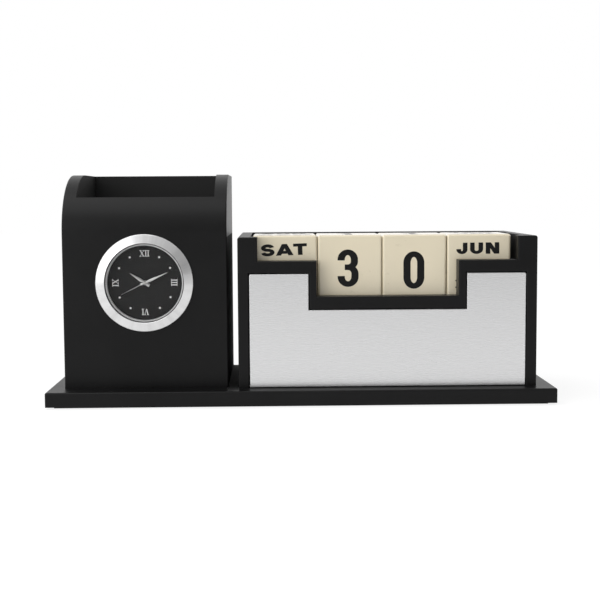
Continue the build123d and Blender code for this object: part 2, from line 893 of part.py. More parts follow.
core_x = rotor_place[0]
stator_low = rotor_place[1] - magnet_radius - stator_air_gap
stator_high = rotor_place[1] + magnet_radius + stator_air_gap
stator_rear = stator_front + stator_thickness
leg = core_width
with BuildPart() as stator:
    with BuildSketch(clock_plane(stator_front)):
        with Locations((core_x, (stator_low + stator_high) / 2)):
            Rectangle(core_length, stator_high - stator_low + 0.6)
        for side in (-1, 1):
            leg_x = core_x + side * (core_length - leg) / 2
            with Locations((leg_x, (stator_high + coil_height) / 2)):
                Rectangle(leg, coil_height + core_width - stator_high)
        with Locations(rotor_place):
            Circle(magnet_radius + stator_air_gap, mode=Mode.SUBTRACT)
    extrude(amount=stator_thickness)
save(stator, "stator")

core_front = coil_depth - core_thickness / 2
with BuildPart() as coil_core:
    with BuildSketch(clock_plane(core_front)):
        with Locations((core_x, coil_height)):
            Rectangle(core_length, core_width)
    extrude(amount=core_thickness)
    for side in (-1, 1):
        leg_x = core_x + side * (core_length - leg) / 2
        with BuildSketch(clock_plane(stator_rear)):
            with Locations((leg_x, coil_height)):
                Rectangle(leg, core_width)
        extrude(amount=core_front - stator_rear)
save(coil_core, "coil_core")

coil_origin = clock_plane(coil_depth).from_local_coords((core_x - coil_length / 2, coil_height, 0))
coil_plane = Plane(origin=coil_origin, x_dir=(0, 1, 0), z_dir=(-1, 0, 0))
with BuildPart() as motor_coil:
    with BuildSketch(coil_plane):
        Circle(coil_radius)
        Rectangle(core_thickness + fit, core_width + fit, mode=Mode.SUBTRACT)
    extrude(amount=coil_length)
save(motor_coil, "motor_coil")

with BuildPart() as battery:
    disc(battery_place, battery_radius, battery_front, battery_front + battery_thickness)
    fillet(battery.edges().filter_by(GeomType.CIRCLE), 0.4)
save(battery, "battery")

contact_low = -battery_drop - battery_radius - 1.2
with BuildPart() as battery_contact:
    with BuildSketch(clock_plane(battery_front - contact_thickness)):
        with Locations((0, (contact_low - battery_drop) / 2)):
            Rectangle(contact_width, -battery_drop - contact_low)
    extrude(amount=contact_thickness)
    with BuildSketch(clock_plane(plate_rear)):
        with Locations((0, contact_low + contact_thickness / 2)):
            Rectangle(contact_width, contact_thickness)
    extrude(amount=battery_front - plate_rear)
save(battery_contact, "battery_contact")

with BuildPart() as circuit_board:
    with BuildSketch(clock_plane(bridge_rear)):
        with Locations((0, board_lift)):
            Rectangle(board_width, board_height)
        with Locations(battery_place):
            Circle(battery_radius + battery_nest_gap, mode=Mode.SUBTRACT)
        with Locations(stem_place):
            Circle(stem_radius + 0.3, mode=Mode.SUBTRACT)
    extrude(amount=board_thickness)
    with BuildSketch(clock_plane(bridge_rear + board_thickness)):
        with Locations(chip_place):
            Circle(chip_radius)
    extrude(amount=chip_height)
save(circuit_board, "circuit_board")
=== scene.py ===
"""Finishes, lettering, clock face and stage for a desk calendar with a drawer."""

from math import cos, pi, radians, sin

import bmesh
import bpy
from bpy.props import FloatProperty, FloatVectorProperty, IntProperty, PointerProperty
from mathutils import Matrix, Vector
from mathutils.geometry import delaunay_2d_cdt


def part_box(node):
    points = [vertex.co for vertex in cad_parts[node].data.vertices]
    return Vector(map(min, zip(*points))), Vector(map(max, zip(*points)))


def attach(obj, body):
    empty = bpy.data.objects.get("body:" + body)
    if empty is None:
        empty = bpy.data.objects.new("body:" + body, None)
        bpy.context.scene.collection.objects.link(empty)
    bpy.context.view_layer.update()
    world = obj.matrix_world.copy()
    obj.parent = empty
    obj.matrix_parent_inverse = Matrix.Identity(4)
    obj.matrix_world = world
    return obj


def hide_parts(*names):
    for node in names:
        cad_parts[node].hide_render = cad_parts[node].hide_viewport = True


bl_info = {
    "name": "Desk Calendar with Drawer",
    "version": (1, 0, 0),
    "blender": (4, 5, 0),
    "location": "3D View > Sidebar > Desk Calendar",
    "description": "Finishes, letters and lights a desk calendar with a drawer",
    "category": "Object",
}

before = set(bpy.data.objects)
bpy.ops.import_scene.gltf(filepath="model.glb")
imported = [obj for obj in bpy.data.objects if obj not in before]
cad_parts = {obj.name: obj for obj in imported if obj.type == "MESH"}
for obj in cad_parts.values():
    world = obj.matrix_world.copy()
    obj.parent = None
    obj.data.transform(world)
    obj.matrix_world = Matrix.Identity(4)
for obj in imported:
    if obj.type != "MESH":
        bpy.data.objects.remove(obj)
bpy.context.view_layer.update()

MM = 0.001
MASK_MARGIN = 0.1 * MM  # so that a mask takes in the faces that lie on its limits
NOISE_LOW, NOISE_HIGH = 0.3, 0.7  # most of a noise's values lie between these
BOARDS = (
    "base_board",
    "pen_left_side",
    "pen_right_side",
    "pen_front_board",
    "pen_back_board",
    "calendar_left_side",
    "calendar_right_side",
    "calendar_back",
    "calendar_fascia",
    "cube_tray_floor",
    "cube_stop_rail",
    "drawer_front_board",
    "drawer_left_side",
    "drawer_right_side",
    "drawer_back",
    "drawer_bottom",
)


# ------------------------------------------------------------------ settings
def setting(kind, **limits):
    """A function that makes a user's setting of a name, a description and a default."""

    def make(name, description, default):
        return kind(name=name, description=description, default=default, **limits)

    return make


colour = setting(FloatVectorProperty, size=3, min=0.0, max=1.0, subtype="COLOR")
length = setting(FloatProperty, min=0.0, unit="LENGTH", precision=5)  # metres
point = setting(FloatVectorProperty, size=3, unit="LENGTH")  # metres
angle = setting(FloatProperty, subtype="ANGLE")  # radians
amount = setting(FloatProperty, min=0.0, max=1.0)
multiple = setting(FloatProperty, min=0.0, max=10.0)
power = setting(FloatProperty, min=0.0, max=1000.0)  # watts
count = setting(IntProperty, min=3)


class BoardSettings(bpy.types.PropertyGroup):
    laminate: colour("Laminate", "Colour of the black boards", (0.0062, 0.0062, 0.0064))
    laminate_roughness: amount("Laminate roughness", "How satin the boards are", 0.37)
    # painted light: the lighter colour inside stands in for the light that falls on the pen box's
    # inner faces
    inner_face: colour("Inner faces", "Colour inside the pen box", (0.022, 0.022, 0.022))
    inner_dullness: amount("Inner dullness", "Roughness added inside the pen box", 0.25)
    facing_dullness: amount("Facing dullness", "Roughness added where the boxes face", 0.4)
    panel: colour("Silver panel", "Colour of the drawer's front plate", (0.72, 0.72, 0.725))
    felt: colour("Felt", "Colour of the underlay", (0.012, 0.012, 0.013))


class CubeSettings(bpy.types.PropertyGroup):
    ivory: colour("Ivory", "Colour of the cubes", (0.78, 0.697, 0.518))
    ink: colour("Ink", "Colour of the lettering", (0.004, 0.004, 0.004))
    ink_height: length("Ink height", "How far the lettering stands proud", 0.02 * MM)
    digit_height: length("Digit height", "Height of the numbers", 19.4 * MM)
    digit_width: length("Digit width", "Width of the numbers", 10.9 * MM)
    digit_stem: length("Digit stem", "Width of the numbers' upright strokes", 3.75 * MM)
    digit_bar: length("Digit bar", "Height of the numbers' level strokes", 2.9 * MM)
    name_height: length("Name height", "Height of the names' capitals", 5.9 * MM)
    name_stem: length("Name stem", "Width of the names' upright strokes", 2.4 * MM)
    name_bar: length("Name bar", "Height of the names' level strokes", 1.55 * MM)
    name_gap: length("Name gap", "Space between the names' letters", 1.35 * MM)
    name_offset: length("Name offset", "A name's height above the cube's middle", 9.2 * MM)


class ClockSettings(bpy.types.PropertyGroup):
    bezel: colour("Bezel", "Colour of the bezel", (0.765, 0.765, 0.765))
    dial: colour("Dial", "Colour of the dial", (0.011, 0.011, 0.011))
    enamel: colour("Enamel", "Colour of the dial's marks", (0.92, 0.92, 0.91))
    mark_radius: length("Mark radius", "Where the hour marks stand", 15.08 * MM)
    mark_height: length("Numeral height", "Height of the Roman numerals", 3.15 * MM)
    mark_stem: length("Numeral stem", "Width of the numerals' heavy strokes", 0.47 * MM)
    mark_hair: length("Numeral hairline", "Height of the numerals' serifs", 0.24 * MM)
    dot_radius: length("Dot radius", "Radius of the hour dots", 0.52 * MM)
    dot_sides: count("Dot sides", "Corners of each dot", 20)
    print_height: length("Print height", "How far the dial's marks stand proud", 0.03 * MM)
    gasket_width: length("Gasket width", "Width of the lens's gasket", 0.26 * MM)
    gasket_height: length("Gasket height", "How far the gasket stands proud of the lens", 0.2 * MM)
    wire_turns: count("Wire turns", "Turns wound on the coil", 52)


class StageSettings(bpy.types.PropertyGroup):
    camera_place: point("Camera", "Where the camera stands", (-0.01357, -0.64375, 0.10592))
    camera_turn: angle("Turn", "Camera's turn to the right", radians(1.2228))
    camera_tilt: angle("Tilt", "Camera's tilt down", radians(4.9294))
    camera_roll: angle("Roll", "Camera's roll", radians(-0.3488))
    focal_share: multiple("Focal length", "Focal length over the picture's width", 1.98248)
    softbox_power: power("Softbox", "Power of the lamp overhead, in watts", 3.0)
    key_power: power("Key", "Power of the lamp in front at the left, in watts", 1.3)
    surround: multiple("Surround", "Light from all round", 1.0)
    floor: colour("Floor", "Colour of the floor", (0.86, 0.86, 0.86))


# ------------------------------------------------------------------ node trees
class Socket:
    """An output that can be used in a sum, which adds its Math nodes to the tree."""

    def __init__(self, tree, output):
        self.tree = tree
        self.output = output

    def math(self, operation, first, second):
        """The result of a Math node."""
        return self.tree.add("ShaderNodeMath", {"operation": operation}, {0: first, 1: second})

    def __add__(self, other):
        return self.math("ADD", self, other)

    def __sub__(self, other):
        return self.math("SUBTRACT", self, other)

    def __rsub__(self, other):
        return self.math("SUBTRACT", other, self)

    def __mul__(self, other):
        return self.math("MULTIPLY", self, other)

    def __truediv__(self, other):
        return self.math("DIVIDE", self, other)

    def __mod__(self, other):
        return self.math("MODULO", self, other)

    def __gt__(self, other):
        return self.math("GREATER_THAN", self, other)

    __radd__ = __add__
    __rmul__ = __mul__


class Tree:
    """A node tree that is written as expressions."""

    def __init__(self, tree):
        self.tree = tree

    def plug(self, socket, value):
        """Gives an input its link or its value."""
        if isinstance(value, Socket):
            self.tree.links.new(value.output, socket)
        elif value is not None:
            socket.default_value = value

    def add(self, kind, settings=None, sockets=None, output=0):
        """Adds a node with its settings, then its inputs, and returns one output."""
        node = self.tree.nodes.new(kind)
        for name, value in (settings or {}).items():
            if name == "stops":
                for stop, (place, tint) in zip(node.color_ramp.elements, value):
                    stop.position, stop.color = place, (*tint, 1.0)
            else:
                setattr(node, name, value)
        for name, value in (sockets or {}).items():
            self.plug(node.inputs[name], value)
        return Socket(self, node.outputs[output]) if node.outputs else None

    def vector(self, operation, first, second=None, output=0):
        """One step of vector arithmetic."""
        sockets = {0: first, 1: second}
        return self.add("ShaderNodeVectorMath", {"operation": operation}, sockets, output)

    def along(self, place, axis):
        """A place's coordinate on an axis."""
        return self.add("ShaderNodeSeparateXYZ", None, {0: place}, output=axis)

    def ramp(self, value, start, end, low=0.0, high=1.0):
        """From low to high as a value goes from start to end, and level beyond them."""
        limits = {"From Min": start, "From Max": end, "To Min": low, "To Max": high}
        return self.add("ShaderNodeMapRange", None, {"Value": value, **limits})

    def rays(self, kinds):
        """1 for rays of these kinds, and 0 for others."""
        return sum(self.add("ShaderNodeLightPath", output=kind) for kind in kinds)


class Finish(Tree):
    """A material whose pattern is laid out in the object's own coordinates."""

    def __init__(self, name):
        self.material = bpy.data.materials.new(name)
        self.material.use_nodes = True
        super().__init__(self.material.node_tree)
        self.tree.nodes.clear()
        self.shader = self.tree.nodes.new("ShaderNodeBsdfPrincipled")
        self.end = self.tree.nodes.new("ShaderNodeOutputMaterial")
        self.tree.links.new(self.shader.outputs[0], self.end.inputs["Surface"])
        self.place = self.add("ShaderNodeTexCoord", output="Object")

    def stretched(self, scale, turn=(0.0, 0.0, 0.0)):
        """The object's coordinates, stretched by a scale for each axis."""
        sockets = {"Vector": self.place, "Scale": scale, "Rotation": turn}
        return self.add("ShaderNodeMapping", None, sockets)

    def within(self, low, high, axis):
        """1 between two places along an axis, and 0 elsewhere."""
        along = self.along(self.place, axis)
        return (along > low - MASK_MARGIN) - (along > high + MASK_MARGIN)

    def noise(self, scale, detail=2.0, roughness=0.5, place=None):
        """Noise with so many lumps in a metre."""
        grain = {"Scale": scale, "Detail": detail, "Roughness": roughness}
        return self.add("ShaderNodeTexNoise", None, {"Vector": place or self.place, **grain})

    def between(self, share, low, high):
        """A colour between two colours."""
        stops = ((NOISE_LOW, low), (NOISE_HIGH, high))
        return self.add("ShaderNodeValToRGB", {"stops": stops}, {"Fac": share})

    def tinted(self, share, tint, low, high):
        """A colour between a darker and a lighter shade of a tint."""
        return self.between(share, shade(tint, low), shade(tint, high))

    def mixed(self, share, first, second):
        """A colour between two colours, by the sockets that a Mix node has for colours."""
        sockets = {0: share, 6: first, 7: second}
        return self.add("ShaderNodeMix", {"data_type": "RGBA"}, sockets, output=2)

    def relief(self, height, depth):
        """A normal for a relief of a depth in metres."""
        sockets = {"Height": height, "Distance": depth, "Strength": 1.0}
        return self.add("ShaderNodeBump", None, sockets)

    def made_of(self, **inputs):
        """Sets the shader's inputs, named with underscores, and returns the material."""
        for name, value in inputs.items():
            socket = self.shader.inputs[name.replace("_", " ").title().replace("Ior", "IOR")]
            tint = not isinstance(value, Socket) and socket.type == "RGBA"
            self.plug(socket, (*value, 1.0) if tint else value)
        return self.material


def shade(tint, factor):
    """A colour made lighter or darker."""
    return tuple(min(1.0, part * factor) for part in tint)


# ------------------------------------------------------------------ finishes
def black_laminate(settings):
    """Satin laminate with a faint orange peel and handling marks in its gloss. It is
    duller inside the pen box and where the two boxes face. Inside the pen box its
    colour is also lighter: painted light that stands in for the light on the inner faces."""
    finish = Finish("black_laminate")
    peel = finish.noise(1400.0, 3.0, 0.55)
    marks = finish.noise(38.0, 5.0, 0.6)
    dust = finish.noise(5200.0, 1.0) > 0.74
    tint = finish.tinted(marks, settings.laminate, 0.85, 1.2)
    base, calendar_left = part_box("base_board"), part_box("calendar_left_side")
    pen_left, pen_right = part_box("pen_left_side"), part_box("pen_right_side")
    pen_front, pen_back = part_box("pen_front_board"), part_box("pen_back_board")
    # The inside of the pen box: rougher, and lighter in colour as painted light
    inside = finish.within(pen_left[1].x, pen_right[0].x, "X")
    inside *= finish.within(pen_front[1].y, pen_back[0].y, "Y")
    facing_boxes = finish.within(pen_right[1].x, calendar_left[0].x, "X")
    facing_boxes *= finish.within(base[0].y, pen_right[1].y, "Y")
    facing_boxes *= finish.within(base[0].z, calendar_left[1].z, "Z")
    facing_boxes *= finish.ramp(finish.along(finish.place, "Y"), base[0].y, pen_right[0].y)
    dullness = settings.inner_dullness * inside + settings.facing_dullness * facing_boxes
    satin = settings.laminate_roughness + 0.1 * (marks - 0.5) + 0.08 * (peel - 0.5)
    return finish.made_of(
        # painted light: inside the pen box the colour turns to the lighter inner colour
        base_color=finish.mixed(inside, tint, (*settings.inner_face, 1.0)),
        roughness=satin + 0.06 * dust + dullness,
        specular_ior_level=0.16,
        normal=finish.relief(peel, 0.012 * MM),
    )


def wool_felt(settings):
    """Short matted fibres."""
    finish = Finish("wool_felt")
    fibres = finish.noise(2600.0, 6.0, 0.75)
    lumps = finish.noise(300.0, 3.0)
    return finish.made_of(
        base_color=finish.tinted(fibres, settings.felt, 0.5, 1.9),
        roughness=0.95,
        normal=finish.relief(fibres + lumps, 0.25 * MM),
        sheen_weight=0.35,
    )


def zinc(name="zinc_plate", tint=(0.52, 0.53, 0.54), roughness=0.34):
    """Plated steel with a mottled brightness."""
    finish = Finish(name)
    mottle = finish.noise(900.0, 4.0)
    return finish.made_of(
        base_color=finish.tinted(mottle, tint, 0.88, 1.08),
        metallic=1.0,
        roughness=roughness + 0.12 * (mottle - 0.5),
        normal=finish.relief(mottle, 0.002 * MM),
    )


def silver_panel(settings):
    """Satin anodised plate, brushed along its length."""
    finish = Finish("silver_panel")
    brushing = finish.noise(1.0, 3.0, 0.6, finish.stretched((35.0, 35.0, 5200.0)))
    cloud = finish.noise(14.0, 2.0)
    share = 0.8 * brushing + 0.2 * cloud
    return finish.made_of(
        base_color=finish.tinted(share, settings.panel, 0.993, 1.006),
        metallic=0.85,
        roughness=0.27 + 0.04 * (brushing - 0.5),
        specular_ior_level=0.4,
        normal=finish.relief(brushing, 0.00018 * MM),
    )


def ivory(settings):
    """Polished cast plastic whose warmth varies a little, with fine scuffs."""
    finish = Finish("ivory_plastic")
    warmth = finish.noise(26.0, 3.0)
    scuffs = finish.noise(1.0, 4.0, 0.6, finish.stretched((260.0, 900.0, 420.0), (0.3, 0.5, 0.2)))
    return finish.made_of(
        base_color=finish.tinted(warmth, settings.ivory, 0.97, 1.03),
        roughness=0.3 + 0.16 * (scuffs - 0.5),
        normal=finish.relief(scuffs, 0.004 * MM),
        coat_weight=0.9,
        coat_roughness=0.12,
    )


def printed(name, tint, roughness, gloss=0.5):
    """Ink or enamel with a slightly uneven coat."""
    finish = Finish(name)
    coat = finish.noise(2400.0, 3.0)
    return finish.made_of(
        base_color=finish.tinted(coat, tint, 0.85, 1.1),
        roughness=roughness + 0.14 * (coat - 0.5),
        specular_ior_level=gloss,
        normal=finish.relief(coat, 0.003 * MM),
    )


def pearl_chrome(settings):
    """Pearl chrome whose polish varies round the bezel, streaked from its middle. Its colour is
    streaked the same way, a painted reflection that stands in for the streaked highlights of
    turned metal.
    """
    finish = Finish("pearl_chrome")
    outward = finish.vector("SUBTRACT", finish.place, clock_centre())
    outward = finish.vector("NORMALIZE", finish.vector("MULTIPLY", outward, (1, 0, 1)))
    polish_and_painted_reflection = finish.noise(3.2, 5.0, 0.7, outward)
    grain = finish.noise(3200.0, 3.0, 0.6)
    return finish.made_of(
        # painted reflection: brighter and darker wedges of colour round the bezel stand in for its
        # streaked highlights
        base_color=finish.tinted(polish_and_painted_reflection, settings.bezel, 0.8, 1.07),
        metallic=0.72,
        roughness=0.22 + 0.14 * (polish_and_painted_reflection - 0.5) + 0.05 * (grain - 0.5),
        normal=finish.relief(grain, 0.0015 * MM),
    )


def clear_glass():
    """Flat mineral glass, seen mostly by its gloss."""
    finish = Finish("clear_glass")
    wipe = finish.noise(90.0, 3.0)
    return finish.made_of(
        base_color=finish.between(wipe, (0.004, 0.004, 0.004), (0.008, 0.008, 0.008)),
        roughness=0.02 + 0.04 * wipe,
        alpha=0.06 + 0.02 * wipe,
        specular_ior_level=0.5,
    )


def moulded(name, tint, roughness=0.45, grain=0.01):
    """Moulded plastic or rubber with a fine spark-eroded grain."""
    finish = Finish(name)
    sparks = finish.noise(2800.0, 3.0, 0.6)
    flow = finish.noise(70.0, 3.0)
    return finish.made_of(
        base_color=finish.tinted(flow, tint, 0.92, 1.07),
        roughness=roughness + 0.12 * (sparks - 0.5),
        normal=finish.relief(sparks, grain * MM),
    )


def dial_black(settings):
    """Matt black paint with a fine grain."""
    finish = Finish("dial_black")
    grain = finish.noise(4200.0, 2.0)
    return finish.made_of(
        base_color=finish.tinted(grain, settings.dial, 0.9, 1.12),
        roughness=0.55 + 0.1 * (grain - 0.5),
        specular_ior_level=0.3,
        normal=finish.relief(grain, 0.002 * MM),
    )


def copper_wire():
    """Enamelled copper."""
    finish = Finish("copper_wire")
    lacquer = finish.noise(1500.0, 3.0)
    return finish.made_of(
        base_color=finish.between(lacquer, (0.42, 0.13, 0.05), (0.62, 0.24, 0.1)),
        metallic=0.9,
        roughness=0.25 + 0.1 * lacquer,
        coat_weight=0.5,
    )


def solder_mask():
    """Green circuit board with copper tracks under the mask."""
    finish = Finish("solder_mask")
    cells = {"Vector": finish.place, "Scale": 620.0}
    tracks = finish.add("ShaderNodeTexVoronoi", {"feature": "DISTANCE_TO_EDGE"}, cells) > 0.09
    return finish.made_of(
        base_color=finish.between(tracks, (0.03, 0.17, 0.07), (0.012, 0.085, 0.035)),
        roughness=0.38 + 0.1 * tracks,
        normal=finish.relief(1.0 - tracks, 0.02 * MM),
    )


def paint(nodes, material):
    """Gives CAD nodes their finish."""
    for name in nodes:
        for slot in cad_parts[name].material_slots:
            slot.material = material


def put_in_scene(name, data):
    """A new object for a mesh, a lamp or a camera."""
    thing = bpy.data.objects.new(name, data)
    bpy.context.scene.collection.objects.link(thing)
    return thing


def new_piece(name, mesh, material, body, replaced=()):
    """Puts a finished mesh in the scene, to ride on a body."""
    piece = put_in_scene(name, mesh)
    if not mesh.materials:
        mesh.materials.append(material)
    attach(piece, body)
    if replaced:
        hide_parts(*replaced)


# ------------------------------------------------------------------ letters
# A letter is drawn with a pen on a square from 0 to 1 each way, which holds the
# middle of the pen. OUT stands for the letter's outer edge itself. A list of points
# is a stroke of the pen. A tuple is a slanted stroke with level ends, from x and y to
# x and y, with its width as a share of the upright strokes'. A capital or a Roman
# numeral has its width first, as a share of its height.
OUT = 9
ARC_STEP = 11  # degrees
SAME_PLACE = 1e-6  # metres between points that count as one
NO_AREA = 1e-12  # square metres
WELD = 1e-7  # metres between corners that are joined


def arc(x, y, width, height, start, end):
    """Points on part of an ellipse, from one angle to another."""
    steps = max(3, round(abs(end - start) / ARC_STEP))
    angles = [radians(start + (end - start) * n / steps) for n in range(steps + 1)]
    return [(x + width * cos(a), y + height * sin(a)) for a in angles]


def bowl(y, height, start, end):
    """Part of an ellipse as wide as the letter."""
    return arc(0.5, y, 0.5, height, start, end)


STEM = [(0, -OUT), (0, OUT)]
FAR_STEM = [(1, -OUT), (1, OUT)]
DIGITS = {
    "0": [
        bowl(0.73, 0.27, 70, 180) + bowl(0.27, 0.27, 180, 290),
        bowl(0.27, 0.27, -110, 0) + bowl(0.73, 0.27, 0, 110),
    ],
    "1": [[(0.62, -OUT), (0.62, OUT)], [(-0.1, 0.8), (0.3, 0.85), (0.55, 0.97)]],
    "2": [
        bowl(0.74, 0.26, 190, -25) + [(0.62, 0.42), (0.22, 0.2), (0.02, 0.02)],
        [(-OUT, 0), (OUT, 0)],
    ],
    "3": [
        [
            (0, 0.745),
            *arc(0.48, 0.77, 0.48, 0.23, 180, 0),
            *arc(0.5, 0.71, 0.46, 0.18, 0, -90),
            (0.26, 0.53),
        ],
        [(0.26, 0.53), *bowl(0.33, 0.2, 90, 0), *bowl(0.23, 0.23, 0, -180), (0, 0.255)],
    ],
    "4": [[(0.74, -OUT), (0.74, OUT)], [(-OUT, 0.22), (OUT, 0.22)], (0.04, 0.22, 0.66, OUT, 0.9)],
    "5": [
        [(0.08, 1), (OUT, 1)],
        [(0.1, OUT), (0.03, 0.5)],
        [(0.03, 0.52)] + arc(0.48, 0.38, 0.52, 0.24, 128, 0) + bowl(0.25, 0.25, 0, -175),
    ],
    "6": [
        bowl(0.73, 0.27, 5, 180) + bowl(0.27, 0.27, 180, 290),
        bowl(0.27, 0.27, -110, 0) + bowl(0.34, 0.25, 0, 175),
    ],
    "7": [[(-OUT, 1), (OUT, 1)], [(0.97, 0.98), (0.66, 0.6), (0.44, 0.3), (0.36, -OUT)]],
    "8": [
        arc(0.5, 0.77, 0.46, 0.23, 70, 290),
        arc(0.5, 0.77, 0.46, 0.23, -110, 110),
        bowl(0.27, 0.27, 70, 290),
        bowl(0.27, 0.27, -110, 110),
    ],
}
CAPITALS = {
    "A": (1.55, [(0, -OUT, 0.5, OUT, 1.1), (1, -OUT, 0.5, OUT, 1.1), [(0.22, 0.2), (0.78, 0.2)]]),
    "B": (
        1.28,
        [
            STEM,
            [(0, 1), (0.6, 1)] + arc(0.62, 0.76, 0.32, 0.24, 80, -80) + [(0, 0.52)],
            [(0, 0.52), (0.6, 0.52)] + arc(0.64, 0.26, 0.36, 0.26, 80, -90) + [(0, 0)],
        ],
    ),
    "C": (1.32, [bowl(0.55, 0.45, 28, 180) + bowl(0.45, 0.45, 180, 332)]),
    "D": (
        1.32,
        [STEM, [(0, 1), (0.45, 1), *arc(0.45, 0.5, 0.55, 0.5, 85, -85), (0.45, 0), (0, 0)]],
    ),
    "E": (1.15, [STEM, [(0, 1), (OUT, 1)], [(0, 0.5), (0.92, 0.5)], [(0, 0), (OUT, 0)]]),
    "F": (1.1, [STEM, [(0, 1), (OUT, 1)], [(0, 0.48), (0.9, 0.48)]]),
    "G": (
        1.38,
        [
            bowl(0.55, 0.45, 28, 180) + bowl(0.45, 0.45, 180, 340),
            [(1, -OUT), (1, 0.5)],
            [(0.55, 0.42), (OUT, 0.42)],
        ],
    ),
    "H": (1.3, [STEM, FAR_STEM, [(0, 0.5), (1, 0.5)]]),
    "I": (0.42, [[(0.5, -OUT), (0.5, OUT)]]),
    "J": (0.98, [[(1, OUT), (1, 0.42)] + bowl(0.36, 0.36, 0, -180) + [(0, 0.42)]]),
    "L": (1.08, [STEM, [(0, 0), (OUT, 0)]]),
    "M": (1.55, [STEM, FAR_STEM, (0.02, OUT, 0.5, -OUT, 0.85), (0.98, OUT, 0.5, -OUT, 0.85)]),
    "N": (1.2, [STEM, FAR_STEM, (0.04, OUT, 0.96, -OUT, 1.05)]),
    "O": (1.4, [bowl(0.5, 0.5, 70, 290), bowl(0.5, 0.5, -110, 110)]),
    "P": (1.22, [STEM, [(0, 1), (0.6, 1)] + arc(0.62, 0.7, 0.38, 0.3, 80, -80) + [(0, 0.4)]]),
    "R": (
        1.32,
        [
            STEM,
            [(0, 1), (0.6, 1)] + arc(0.62, 0.72, 0.36, 0.28, 80, -80) + [(0, 0.44)],
            (0.55, 0.42, 1, -OUT, 1.1),
        ],
    ),
    "S": (1.2, [arc(0.5, 0.77, 0.47, 0.26, 4, 262) + bowl(0.235, 0.275, 82, -174)]),
    "T": (1.2, [[(-OUT, 1), (OUT, 1)], [(0.5, -OUT), (0.5, OUT)]]),
    "U": (1.15, [[(0, OUT), (0, 0.42), *bowl(0.38, 0.38, 180, 360), (1, 0.42), (1, OUT)]]),
    "V": (1.45, [(0, OUT, 0.5, -OUT, 1.1), (1, OUT, 0.5, -OUT, 1.1)]),
    "W": (
        2.0,
        [
            (0, OUT, 0.27, -OUT),
            (0.5, OUT, 0.27, -OUT, 0.9),
            (0.5, OUT, 0.73, -OUT, 0.9),
            (1, OUT, 0.73, -OUT),
        ],
    ),
    "Y": (1.4, [(0, OUT, 0.5, 0.36, 1.1), (1, OUT, 0.5, 0.36, 1.1), [(0.5, -OUT), (0.5, 0.45)]]),
}
OPEN_SIDED = "ATVWY"
TUCK = 0.12  # how far capitals close up for each open side, over their height
SERIFS = [[(-OUT, 0), (OUT, 0)], [(-OUT, 1), (OUT, 1)]]
ROMAN = {
    "I": (0.41, [*SERIFS, [(0.5, -OUT), (0.5, OUT)]]),
    "V": (
        0.8,
        [
            [(-OUT, 1), (0.42, 1)],
            [(0.62, 1), (OUT, 1)],
            (0.12, OUT, 0.5, -OUT, 1.1),
            (0.92, OUT, 0.52, -OUT, 0.45),
        ],
    ),
    "X": (
        0.86,
        [
            [(-OUT, 1), (0.4, 1)],
            [(0.62, 1), (OUT, 1)],
            [(-OUT, 0), (0.38, 0)],
            [(0.6, 0), (OUT, 0)],
            (0.1, OUT, 0.9, -OUT, 1.1),
            (0.92, OUT, 0.08, -OUT, 0.45),
        ],
    ),
}
OVERLAP = 0.02  # how far a Roman numeral's letters overlap, over their height


def on_letter(share, pen, size):
    """A coordinate on a letter, from its share of the pen's square."""
    if abs(share) == OUT:
        return size if share > 0 else 0.0
    return pen / 2 + share * (size - pen)


def stroke(points, pen):
    """Quadrilaterals that a pen with an upright and a level width covers along points."""
    sides = []
    for n, point in enumerate(points):
        along = (points[min(n + 1, len(points) - 1)] - points[max(n - 1, 0)]).normalized()
        side = Vector((-along.y * pen[0] / 2, along.x * pen[1] / 2))
        sides.append((point + side, point - side))
    return [(*sides[n], sides[n + 1][1], sides[n + 1][0]) for n in range(len(sides) - 1)]


def letter(strokes, size, pen):
    """The quadrilaterals of a letter's strokes, from its lower left corner."""
    areas = []
    for line in strokes:
        if isinstance(line, list):
            points = [
                Vector((on_letter(x, pen[0], size[0]), on_letter(y, pen[1], size[1])))
                for x, y in line
            ]
            points = [
                point
                for n, point in enumerate(points)
                if not n or (point - points[n - 1]).length > SAME_PLACE
            ]
            areas += stroke(points, pen)
        else:
            half = pen[0] / 2 * (line[4] if len(line) > 4 else 1)
            x0, x1 = (on_letter(x, 2 * half, size[0]) for x in (line[0], line[2]))
            y0, y1 = (on_letter(y, pen[1], size[1]) for y in (line[1], line[3]))
            corners = ((x0 - half, y0), (x0 + half, y0), (x1 + half, y1), (x1 - half, y1))
            areas.append([Vector(corner) for corner in corners])
    return areas


def spelled(text, alphabet, height):
    """The strokes and the size of each letter of a text."""
    return [(strokes, (width * height, height)) for width, strokes in (alphabet[c] for c in text)]


def word(letters, gaps, pen):
    """A row of letters about the middle. Each letter is its strokes and its size."""
    width = sum(size[0] for _, size in letters) + sum(gaps)
    start, areas = -width / 2, []
    for (strokes, size), gap in zip(letters, (*gaps, 0.0)):
        for area in letter(strokes, size, pen):
            areas.append([point + Vector((start, -size[1] / 2)) for point in area])
        start += size[0] + gap
    return areas


